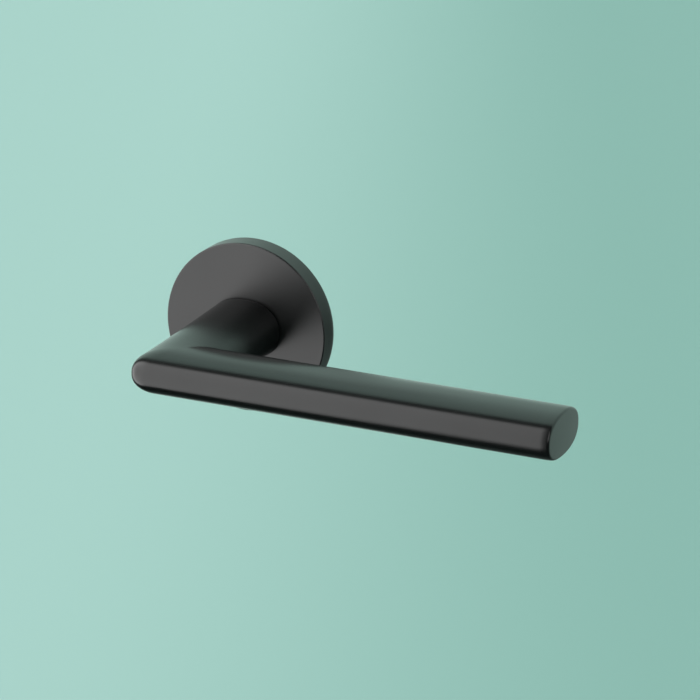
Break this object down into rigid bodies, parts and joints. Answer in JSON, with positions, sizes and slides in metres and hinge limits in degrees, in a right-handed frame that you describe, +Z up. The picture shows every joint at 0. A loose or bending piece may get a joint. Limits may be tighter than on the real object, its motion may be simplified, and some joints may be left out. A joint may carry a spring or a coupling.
{
  "type": "lever door handle",
  "caption": "Mitred oval-section lever on a plain round rose, with the spring cassette, half spindle and fixings of one side of a door set.",
  "frame": {"origin": "the spindle axis on the door face", "axes": "+X along the grip away from the spindle, +Y into the door, +Z up"},
  "size_m": [0.144, 0.0971, 0.052],
  "materials": {
    "black_coat": "satin black coating",
    "black_nylon": "matt moulded",
    "zinc_plated": "zinc plated, satin",
    "bright_steel": "machined, satin",
    "spring_steel": "oiled spring steel",
    "white_nylon": "matt moulded"
  },
  "bodies": {
    "rose": {"rose_cover": "black_coat", "neck_ring": "black_nylon", "base_plate": "zinc_plated", "spring_cover": "zinc_plated", "threaded_sleeves": "zinc_plated", "wood_screws": "zinc_plated", "stop_pins": "bright_steel", "housing_circlip": "spring_steel", "return_spring": "spring_steel", "cover_snap_ring": "spring_steel", "disc_spring": "spring_steel", "bearing_bush": "white_nylon", "thrust_washer": "white_nylon"},
    "lever": {"lever_handle": "black_coat", "lever_grub_screw": "bright_steel", "spindle": "bright_steel", "driver_hub": "bright_steel", "driver_disc": "zinc_plated", "driver_circlip": "spring_steel", "spring_guide": "white_nylon"}
  },
  "joints": [
    {"name": "lever_turn", "type": "hinge", "parent": "rose", "child": "lever", "pos_m": [0, 0, 0], "axis": [0, 1, 0], "range_deg": [0, 40], "stiffness_Nm_per_rad": 1, "springref_deg": -28.65, "deforming": ["return_spring"]}
  ]
}
